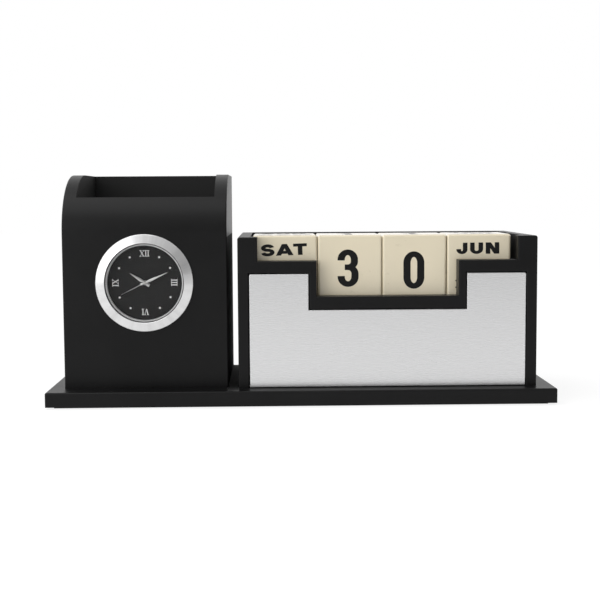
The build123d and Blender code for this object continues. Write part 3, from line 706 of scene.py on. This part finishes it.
def raise_print(bm, areas, place, height):
    """Adds overlapping areas as one closed layer of print on a surface."""
    points, faces = [], []
    for area in areas:
        for corners in ((0, 1, 2), (0, 2, 3)):
            a, b, c = (area[n] for n in corners)
            turn = (b - a).cross(c - a)
            if abs(turn) > NO_AREA:
                faces.append(list(range(len(points), len(points) + 3)))
                points += (a, b, c) if turn > 0 else (a, c, b)
    flat, _, triangles, _, _, sources = delaunay_2d_cdt(points, [], faces, 0, WELD)
    triangles = [corners for corners, source in zip(triangles, sources) if source]
    used = sorted({n for corners in triangles for n in corners})
    upper, lower = (
        {n: bm.verts.new(place @ Vector((*flat[n], z))) for n in used}
        for z in (height, -height / 2)
    )
    edges = {edge for a, b, c in triangles for edge in ((a, b), (b, c), (c, a))}
    for corners in triangles:
        bm.faces.new([upper[n] for n in corners])
        bm.faces.new([lower[n] for n in reversed(corners)])
    for a, b in edges:
        if (b, a) not in edges:
            bm.faces.new((upper[b], upper[a], lower[a], lower[b]))


def mesh_from(bm, name):
    """Makes a built shape a mesh."""
    mesh = bpy.data.meshes.new(name)
    bm.to_mesh(mesh)
    bm.free()
    return mesh


def print_mesh(bm, name):
    """Joins the flat faces of a layer of print and makes it a mesh."""
    bmesh.ops.dissolve_limit(bm, angle_limit=radians(0.2), verts=bm.verts, edges=bm.edges)
    bmesh.ops.triangulate(bm, faces=bm.faces)
    return mesh_from(bm, name)


def facing(place, right, up):
    """A transform to a surface, from a place and the print's right and up directions."""
    normal = Vector(right).cross(Vector(up))
    axes = Matrix((right, up, normal)).transposed().to_4x4()
    return Matrix.Translation(place) @ axes


# The print's right and up directions on the front, top, rear, underside, left and right.
CUBE_FACES = (
    ((1, 0, 0), (0, 0, 1)),
    ((1, 0, 0), (0, 1, 0)),
    ((-1, 0, 0), (0, 0, 1)),
    ((1, 0, 0), (0, -1, 0)),
    ((0, -1, 0), (0, 0, 1)),
    ((0, 1, 0), (0, 0, 1)),
)
NUMBER_CUBES = {"tens_cube": "312045", "units_cube": "012678"}
NAME_CUBES = {
    "weekday_cube": ("SAT FRI", "SUN MON", "TUE WED", "THU FRI", "MON SUN", "WED TUE"),
    "month_cube": ("JUN DEC", "JAN JUL", "FEB AUG", "MAR SEP", "APR OCT", "MAY NOV"),
}
# How far each cube's print stands off the middle of its faces, in millimetres to the
# right and up, and its slope in degrees.
PRINT_OFFSETS = {
    "weekday_cube": (-0.25, 0.0, 1.7),
    "tens_cube": (-0.9, -0.6, 0.0),
    "units_cube": (-0.3, -1.8, 0.0),
    "month_cube": (-0.57, 0.1, 0.4),
}


class DESK_OT_laminate_boards(bpy.types.Operator):
    """Cover the boards with black laminate"""

    bl_idname = "desk.laminate_boards"
    bl_label = "Laminate Boards"

    def execute(self, context):
        paint(BOARDS, black_laminate(context.scene.desk_boards))
        return {"FINISHED"}


class DESK_OT_dress_underside(bpy.types.Operator):
    """Give the underlay its felt and the screws their plating"""

    bl_idname = "desk.dress_underside"
    bl_label = "Dress Underside"

    def execute(self, context):
        paint(["base_felt"], wool_felt(context.scene.desk_boards))
        paint(["base_screws"], zinc())
        return {"FINISHED"}


class DESK_OT_face_drawer(bpy.types.Operator):
    """Finish the drawer's silver panel"""

    bl_idname = "desk.face_drawer"
    bl_label = "Face Drawer"

    def execute(self, context):
        paint(["drawer_face_plate"], silver_panel(context.scene.desk_boards))
        return {"FINISHED"}


class DESK_OT_letter_cubes(bpy.types.Operator):
    """Finish the calendar cubes and print their numbers, days and months"""

    bl_idname = "desk.letter_cubes"
    bl_label = "Letter Cubes"

    def number(self, digit, settings):
        """One digit in the middle of a face."""
        pen = (settings.digit_stem, settings.digit_bar)
        size = (settings.digit_width, settings.digit_height)
        return [(Matrix.Identity(4), word([(DIGITS[digit], size)], (), pen))]

    def names(self, pair, settings):
        """An upright name near the top of a face, and one upside down near its bottom."""
        height, gap = settings.name_height, settings.name_gap
        pen = (settings.name_stem, settings.name_bar)
        upwards = Matrix.Translation((0, settings.name_offset, 0))
        prints = []
        for name, turn in zip(pair.split(), (0.0, pi)):
            open_sides = [capital in OPEN_SIDED for capital in name]
            pairs = zip(open_sides, open_sides[1:])
            gaps = [gap - TUCK * height * (one + other) for one, other in pairs]
            areas = word(spelled(name, CAPITALS, height), gaps, pen)
            prints.append((Matrix.Rotation(turn, 4, "Z") @ upwards, areas))
        return prints

    def execute(self, context):
        settings = context.scene.desk_cubes
        cubes = {**NUMBER_CUBES, **NAME_CUBES}
        paint(cubes, ivory(settings))
        ink = printed("cube_ink", settings.ink, 0.3, 0.2)
        for cube, texts in cubes.items():
            low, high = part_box(cube)
            middle, half = (low + high) / 2, (high - low) / 2
            right, up, slope = PRINT_OFFSETS[cube]
            turned = Matrix.Rotation(radians(slope), 4, "Z")
            shift = Matrix.Translation((right * MM, up * MM, 0)) @ turned
            bm = bmesh.new()
            for text, (across, upwards) in zip(texts, CUBE_FACES):
                normal = Vector(across).cross(Vector(upwards))
                surface = middle + Vector(n * h for n, h in zip(normal, half))
                face = facing(surface, across, upwards) @ shift
                lay_out = self.names if cube in NAME_CUBES else self.number
                for place, areas in lay_out(text, settings):
                    raise_print(bm, areas, face @ place, settings.ink_height)
            name = cube.replace("cube", "print")
            new_piece(name, print_mesh(bm, name), ink, cube.replace("_cube", ""))
        return {"FINISHED"}


# ------------------------------------------------------------------ clock
def clock_centre():
    """The middle of the clock, in the plane of its dial's front."""
    low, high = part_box("clock_dial")
    return Vector(((low.x + high.x) / 2, low.y, (low.z + high.z) / 2))


class DESK_OT_finish_clock(bpy.types.Operator):
    """Finish the clock's bezel, glass, case and rear fittings"""

    bl_idname = "desk.finish_clock"
    bl_label = "Finish Clock"

    def execute(self, context):
        settings = context.scene.desk_clock
        paint(["clock_bezel"], pearl_chrome(settings))
        paint(["dial_ring"], moulded("ring_enamel", (0.78, 0.78, 0.78), 0.35, 0.004))
        paint(["clock_lens"], clear_glass())
        paint(["clock_dial"], dial_black(settings))
        paint(["clock_case", "battery_hatch"], moulded("case_plastic", (0.03, 0.03, 0.03)))
        paint(["friction_ring"], moulded("grip_rubber", (0.02, 0.02, 0.02), 0.8, 0.03))
        paint(["setting_knob"], moulded("knob_plastic", (0.5, 0.49, 0.45)))
        self.seat_lens(settings)
        return {"FINISHED"}

    def seat_lens(self, settings):
        """The thin black gasket between the lens and the bezel."""
        low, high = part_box("clock_lens")
        middle = (low + high) / 2
        outer = (high.x - low.x) / 2
        inner = outer - settings.gasket_width
        bedding = 0.1 * MM
        front, rear = low.y - settings.gasket_height, low.y + bedding
        round_off = 0.3 * settings.gasket_height
        section = [
            (inner, rear),
            (inner, front + round_off),
            (inner + round_off, front),
            (outer - round_off, front),
            (outer, front + round_off),
            (outer, rear),
        ]
        steps = 144
        bm = bmesh.new()
        rows = [
            [bm.verts.new((middle.x + r * cos(a), y, middle.z + r * sin(a))) for r, y in section]
            for a in (2 * pi * n / steps for n in range(steps))
        ]
        for n, row in enumerate(rows):
            after = rows[(n + 1) % steps]
            for k in range(len(section)):
                following = (k + 1) % len(section)
                bm.faces.new((row[k], after[k], after[following], row[following]))
        bmesh.ops.recalc_face_normals(bm, faces=bm.faces)
        rubber = moulded("gasket_rubber", (0.012, 0.012, 0.012), 0.6)
        new_piece("lens_gasket", mesh_from(bm, "lens_gasket"), rubber, "clock")


def grower(name, lengths, counts):
    """A new tree of geometry nodes and its inputs by name: lengths, counts, the place
    and the material."""
    kinds = {**dict.fromkeys(lengths, "Float"), **dict.fromkeys(counts, "Int")}
    kinds.update({"Place": "Vector", "Material": "Material"})
    tree = bpy.data.node_groups.new(name, "GeometryNodeTree")
    for key, kind in kinds.items():
        tree.interface.new_socket(key, in_out="INPUT", socket_type="NodeSocket" + kind)
    tree.interface.new_socket("Geometry", in_out="OUTPUT", socket_type="NodeSocketGeometry")
    plan = Tree(tree)
    source = tree.nodes.new("NodeGroupInput").outputs
    return plan, {key: Socket(plan, source[key]) for key in kinds}


def set_down(plan, shape, given, turn):
    """Ends a tree with its shape in place, as real faces with their material."""
    laid = {"Geometry": shape, "Translation": given["Place"], "Rotation": turn}
    placed = plan.add("GeometryNodeTransform", None, laid)
    solid = plan.add("GeometryNodeRealizeInstances", None, {"Geometry": placed})
    dressed = {"Geometry": solid, "Material": given["Material"]}
    finished = plan.add("GeometryNodeSetMaterial", None, dressed)
    plan.add("NodeGroupOutput", None, {"Geometry": finished})
    return plan.tree


def dot_tree():
    """Discs on a ring of points, leaving out every so many."""
    lengths, counts = ("Ring radius", "Dot radius", "Height"), ("Sides", "Hours", "Left out")
    plan, given = grower("hour_dots", lengths, counts)
    circle = {"Vertices": given["Hours"], "Radius": given["Ring radius"]}
    ring = plan.add("GeometryNodeMeshCircle", None, circle)
    chosen = plan.add("GeometryNodeInputIndex") % given["Left out"] > 0.5
    sizes = {"Vertices": given["Sides"], "Radius": given["Dot radius"], "Depth": given["Height"]}
    disc = plan.add("GeometryNodeMeshCylinder", None, sizes)
    spread = {"Points": ring, "Selection": chosen, "Instance": disc}
    dots = plan.add("GeometryNodeInstanceOnPoints", None, spread)
    return set_down(plan, dots, given, (pi / 2, 0, 0))


def grown(tree, name, values):
    """The mesh that a tree makes with these values for its inputs."""
    seed = put_in_scene(name, bpy.data.meshes.new(name))
    modifier = seed.modifiers.new(name, "NODES")
    modifier.node_group = tree
    for item in tree.interface.items_tree:
        if item.in_out == "INPUT":
            modifier[item.identifier] = values[item.name]
    result = seed.evaluated_get(bpy.context.evaluated_depsgraph_get())
    mesh = bpy.data.meshes.new_from_object(result)
    bpy.data.objects.remove(seed)
    return mesh


class DESK_OT_print_dial(bpy.types.Operator):
    """Print the dial's Roman numerals and hour dots"""

    bl_idname = "desk.print_dial"
    bl_label = "Print Dial"

    def execute(self, context):
        settings = context.scene.desk_clock
        enamel = printed("dial_enamel", settings.enamel, 0.4)
        centre = clock_centre()
        height = settings.mark_height
        pen = (settings.mark_stem, settings.mark_hair)
        upwards = Matrix.Translation((0, settings.mark_radius, 0))
        bm = bmesh.new()
        for hour, numeral in ((0, "XII"), (3, "III"), (6, "VI"), (9, "IX")):
            gaps = [-OVERLAP * height] * (len(numeral) - 1)
            areas = word(spelled(numeral, ROMAN, height), gaps, pen)
            turned = Matrix.Rotation(-hour * pi / 6, 4, "Z") @ upwards
            face = facing(centre, (1, 0, 0), (0, 0, 1)) @ turned
            raise_print(bm, areas, face, settings.print_height)
        new_piece("dial_numerals", print_mesh(bm, "dial_numerals"), enamel, "clock")
        values = {
            "Ring radius": settings.mark_radius,
            "Dot radius": settings.dot_radius,
            "Height": 2 * settings.print_height,
            "Sides": settings.dot_sides,
            "Hours": 12,
            "Left out": 3,
            "Place": centre,
            "Material": enamel,
        }
        new_piece("dial_dots", grown(dot_tree(), "dial_dots", values), enamel, "clock")
        return {"FINISHED"}


# Each hand: its body, the way it points at rest in degrees clockwise from twelve, the
# radius of its boss, the height of its ridge, and half of its outline from the tip to
# the tail, as a half width and a place along the hand, all in millimetres.
HANDS = {
    "hour_hand": ("hours", 303, 1.3, 0.3, ((0.05, 9.1), (0.8, 2.9), (0.5, 0), (0.9, -2.8))),
    "minute_hand": ("minutes", 66, 1.05, 0.3, ((0.04, 13), (0.66, 3.2), (0.4, 0), (0.6, -2.3))),
    "second_hand": ("seconds", 243.5, 0.75, 0.15, ((0.13, 13.5), (0.17, 0), (0.22, -4.2))),
}
BOSS_RISE = 0.04 * MM  # over the ridge
BOSS_TAPER = 0.86  # the boss's front radius over its rear radius


class DESK_OT_make_hands(bpy.types.Operator):
    """Make the clock's hands with a ridge down their middles and a round boss"""

    bl_idname = "desk.make_hands"
    bl_label = "Make Hands"

    def execute(self, context):
        centre = clock_centre()
        steel = zinc("polished_hands", (0.66, 0.66, 0.65), 0.3)
        for name, (body, degrees, boss, ridge, half) in HANDS.items():
            rear = Vector((centre.x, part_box(name)[1].y, centre.z))
            place = facing(rear, (1, 0, 0), (0, 0, 1)) @ Matrix.Rotation(-radians(degrees), 4, "Z")
            bm = bmesh.new()
            left, right, crest = (
                [bm.verts.new(place @ Vector((side * w * MM, y * MM, z))) for w, y in half]
                for side, z in ((-1, 0), (1, 0), (0, ridge * MM))
            )
            for n in range(len(half) - 1):
                bm.faces.new((left[n], left[n + 1], crest[n + 1], crest[n]))
                bm.faces.new((crest[n], crest[n + 1], right[n + 1], right[n]))
                bm.faces.new((left[n + 1], left[n], right[n], right[n + 1]))
            bm.faces.new((left[0], crest[0], right[0]))
            bm.faces.new((right[-1], crest[-1], left[-1]))
            boss_height = ridge * MM + BOSS_RISE
            bmesh.ops.create_cone(
                bm,
                cap_ends=True,
                segments=40,
                radius1=boss * MM,
                radius2=boss * MM * BOSS_TAPER,
                depth=boss_height,
                matrix=place @ Matrix.Translation((0, 0, boss_height / 2)),
            )
            bmesh.ops.recalc_face_normals(bm, faces=bm.faces)
            faceted = name + "_faceted"
            new_piece(faceted, mesh_from(bm, faceted), steel, body, [name])
        return {"FINISHED"}


def coil_tree():
    """Wire wound side by side along a straight bobbin."""
    plan, given = grower("wound_coil", ("Length", "Radius", "Wire radius"), ["Turns"])
    helix = {
        "Resolution": 20,
        "Rotations": given["Turns"],
        "Start Radius": given["Radius"],
        "End Radius": given["Radius"],
        "Height": given["Length"],
    }
    path = plan.add("GeometryNodeCurveSpiral", None, helix)
    circle = {"Resolution": 6, "Radius": given["Wire radius"]}
    section = plan.add("GeometryNodeCurvePrimitiveCircle", None, circle)
    swept = {"Curve": path, "Profile Curve": section, "Fill Caps": True}
    wire = plan.add("GeometryNodeCurveToMesh", None, swept)
    bobbin = {"Vertices": 32, "Radius": given["Radius"], "Depth": given["Length"]}
    core = plan.add("GeometryNodeMeshCylinder", None, bobbin)
    half_back = plan.add("ShaderNodeCombineXYZ", None, {"Z": given["Length"] / -2.0})
    centring = {"Geometry": wire, "Translation": half_back}
    centred = plan.add("GeometryNodeTransform", None, centring)
    joined = plan.tree.nodes.new("GeometryNodeJoinGeometry")
    for part in (core, centred):
        plan.tree.links.new(part.output, joined.inputs[0])
    return set_down(plan, Socket(plan, joined.outputs[0]), given, (0, pi / 2, 0))


class DESK_OT_wind_coil(bpy.types.Operator):
    """Wind the motor's coil with copper wire"""

    bl_idname = "desk.wind_coil"
    bl_label = "Wind Coil"

    def execute(self, context):
        turns = context.scene.desk_clock.wire_turns
        low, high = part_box("motor_coil")
        wire = (high.x - low.x) / (turns + 1) / 2
        copper = copper_wire()
        values = {
            "Turns": turns,
            "Length": high.x - low.x - 2 * wire,
            "Radius": (high.y - low.y) / 2 - wire,
            "Wire radius": wire,
            "Place": (low + high) / 2,
            "Material": copper,
        }
        mesh = grown(coil_tree(), "coil_winding", values)
        new_piece("coil_winding", mesh, copper, "clock", ["motor_coil"])
        return {"FINISHED"}


class DESK_OT_finish_movement(bpy.types.Operator):
    """Finish the pieces inside the clock"""

    bl_idname = "desk.finish_movement"
    bl_label = "Finish Movement"

    def execute(self, context):
        wheels = ("second", "third", "middle", "centre", "minute", "hour")
        turning = [*(name + "_wheel" for name in wheels), "rotor"]
        paint(turning, moulded("gear_acetal", (0.66, 0.64, 0.56), 0.35, 0.004))
        paint(["movement_plate", "train_bridge"], moulded("frame_plastic", (0.35, 0.35, 0.34)))
        spring = zinc("spring_steel", (0.5, 0.5, 0.51), 0.3)
        paint(["stator", "coil_core", "battery_contact"], spring)
        paint(["battery"], zinc("battery_can", (0.62, 0.61, 0.58), 0.24))
        paint(["circuit_board"], solder_mask())
        return {"FINISHED"}


# ------------------------------------------------------------------ stage
# Rays that see white all round, and rays that see it in the floor, behind and above.
SEEN = ("Is Camera Ray", "Is Transmission Ray")
MIRRORED = "Is Glossy Ray"
FLOOR_GLOW = 1.12  # strength of the floor's own white
GLOW_SHARE = 0.75  # its share, beside the light and shadow that fall on the floor
SENSOR_WIDTH = 36.0  # millimetres


def soft_lamp(name, place, target, size, power):
    """A square of soft light aimed at a place."""
    lamp = bpy.data.lights.new(name, "AREA")
    lamp.shape = "RECTANGLE"
    lamp.size, lamp.size_y = size
    lamp.energy = power
    holder = put_in_scene(name, lamp)
    holder.location = place
    holder.rotation_euler = (Vector(target) - Vector(place)).to_track_quat("-Z", "Y").to_euler()


class DESK_OT_set_stage(bpy.types.Operator):
    """Set up the floor, the lamps, the surround and the camera"""

    bl_idname = "desk.set_stage"
    bl_label = "Set Stage"

    def lay_floor(self, settings):
        """A pale floor that shows white to the camera and keeps a soft shadow."""
        mesh = bpy.data.meshes.new("floor")
        reach = 3.0
        corners = [(x * reach, y * reach, 0.0) for x, y in ((-1, -1), (1, -1), (1, 1), (-1, 1))]
        mesh.from_pydata(corners, [], [(0, 1, 2, 3)])
        finish = Finish("pale_floor")
        mottle = finish.noise(8.0, 2.0)
        tint = finish.tinted(mottle, settings.floor, 0.995, 1.005)
        finish.made_of(base_color=tint, roughness=0.9, specular_ior_level=0.0)
        seen = finish.rays((*SEEN, MIRRORED))
        white = {"Color": (1, 1, 1, 1), "Strength": FLOOR_GLOW}
        glow = finish.add("ShaderNodeEmission", None, white)
        plain = Socket(finish, finish.shader.outputs[0])
        mixed = finish.add("ShaderNodeMixShader", None, {0: seen * GLOW_SHARE, 1: plain, 2: glow})
        finish.plug(finish.end.inputs["Surface"], mixed)
        mesh.materials.append(finish.material)
        put_in_scene("floor", mesh)

    def light_world(self, settings):
        """White to the camera. Mirrors see it behind and above, and a studio in front."""
        world = bpy.data.worlds.new("studio")
        world.use_nodes = True
        bpy.context.scene.world = world
        sky = Tree(world.node_tree)
        sky.tree.nodes.clear()
        seen = sky.rays(SEEN)
        mirrored = sky.add("ShaderNodeLightPath", output=MIRRORED)
        way = sky.add("ShaderNodeTexCoord", output="Generated")
        darkest = Vector((0.0, -1.0, -0.3)).normalized()
        front = sky.vector("DOT_PRODUCT", way, darkest, "Value")
        studio = sky.ramp(front, 0.6, 0.96, 0.9, 0.15)
        side = sky.ramp(sky.along(way, "X"), -0.6, 0.6, 1.5, 0.3)
        behind = sky.ramp(front, -0.2, 0.5, 1.0, 0.0)
        white = sky.add("ShaderNodeClamp", None, {"Value": seen + mirrored * behind})
        strength = white + (1.0 - white) * studio * side * settings.surround
        light = {"Color": (1, 1, 1, 1), "Strength": strength}
        background = sky.add("ShaderNodeBackground", None, light)
        sky.add("ShaderNodeOutputWorld", None, {"Surface": background})

    def aim_camera(self, settings):
        """The photograph's viewing angle."""
        turn, tilt, roll = settings.camera_turn, settings.camera_tilt, settings.camera_roll
        ahead = Vector((sin(turn) * cos(tilt), cos(turn) * cos(tilt), -sin(tilt)))
        right = Vector((cos(turn), -sin(turn), 0))
        up = right.cross(ahead)
        right, up = cos(roll) * right + sin(roll) * up, cos(roll) * up - sin(roll) * right
        lens = bpy.data.cameras.new("camera")
        lens.sensor_width = SENSOR_WIDTH
        lens.lens = settings.focal_share * lens.sensor_width
        camera = put_in_scene("camera", lens)
        axes = Matrix((right, up, -ahead)).transposed().to_4x4()
        camera.matrix_world = Matrix.Translation(settings.camera_place) @ axes
        bpy.context.scene.camera = camera

    def execute(self, context):
        settings = context.scene.desk_stage
        self.lay_floor(settings)
        self.light_world(settings)
        self.aim_camera(settings)
        middle = (0.0, 0.0, 0.06)
        soft_lamp("softbox", (-0.34, -0.25, 0.95), middle, (1.0, 0.6), settings.softbox_power)
        soft_lamp("key", (-0.52, -0.79, 0.28), middle, (0.5, 0.5), settings.key_power)
        context.scene.view_settings.view_transform = "Standard"
        return {"FINISHED"}


STEPS = (
    DESK_OT_laminate_boards,
    DESK_OT_dress_underside,
    DESK_OT_face_drawer,
    DESK_OT_letter_cubes,
    DESK_OT_finish_clock,
    DESK_OT_print_dial,
    DESK_OT_make_hands,
    DESK_OT_wind_coil,
    DESK_OT_finish_movement,
    DESK_OT_set_stage,
)
SETTINGS = {
    "desk_boards": BoardSettings,
    "desk_cubes": CubeSettings,
    "desk_clock": ClockSettings,
    "desk_stage": StageSettings,
}


class DESK_PT_calendar(bpy.types.Panel):
    """The steps that dress the desk calendar, and their settings"""

    bl_label = "Desk Calendar"
    bl_space_type = "VIEW_3D"
    bl_region_type = "UI"
    bl_category = "Desk Calendar"

    def draw(self, context):
        for step in STEPS:
            self.layout.operator(step.bl_idname)
        for name, group in SETTINGS.items():
            box = self.layout.box()
            for key in group.__annotations__:
                box.prop(getattr(context.scene, name), key)


def register():
    for cls in (*SETTINGS.values(), *STEPS, DESK_PT_calendar):
        bpy.utils.register_class(cls)
    for name, group in SETTINGS.items():
        setattr(bpy.types.Scene, name, PointerProperty(type=group))


def unregister():
    for name in SETTINGS:
        delattr(bpy.types.Scene, name)
    for cls in (DESK_PT_calendar, *reversed(STEPS), *reversed(SETTINGS.values())):
        bpy.utils.unregister_class(cls)


def main():
    register()
    for step in STEPS:
        group, name = step.bl_idname.split(".")
        getattr(getattr(bpy.ops, group), name)()


if __name__ == "__main__":
    main()
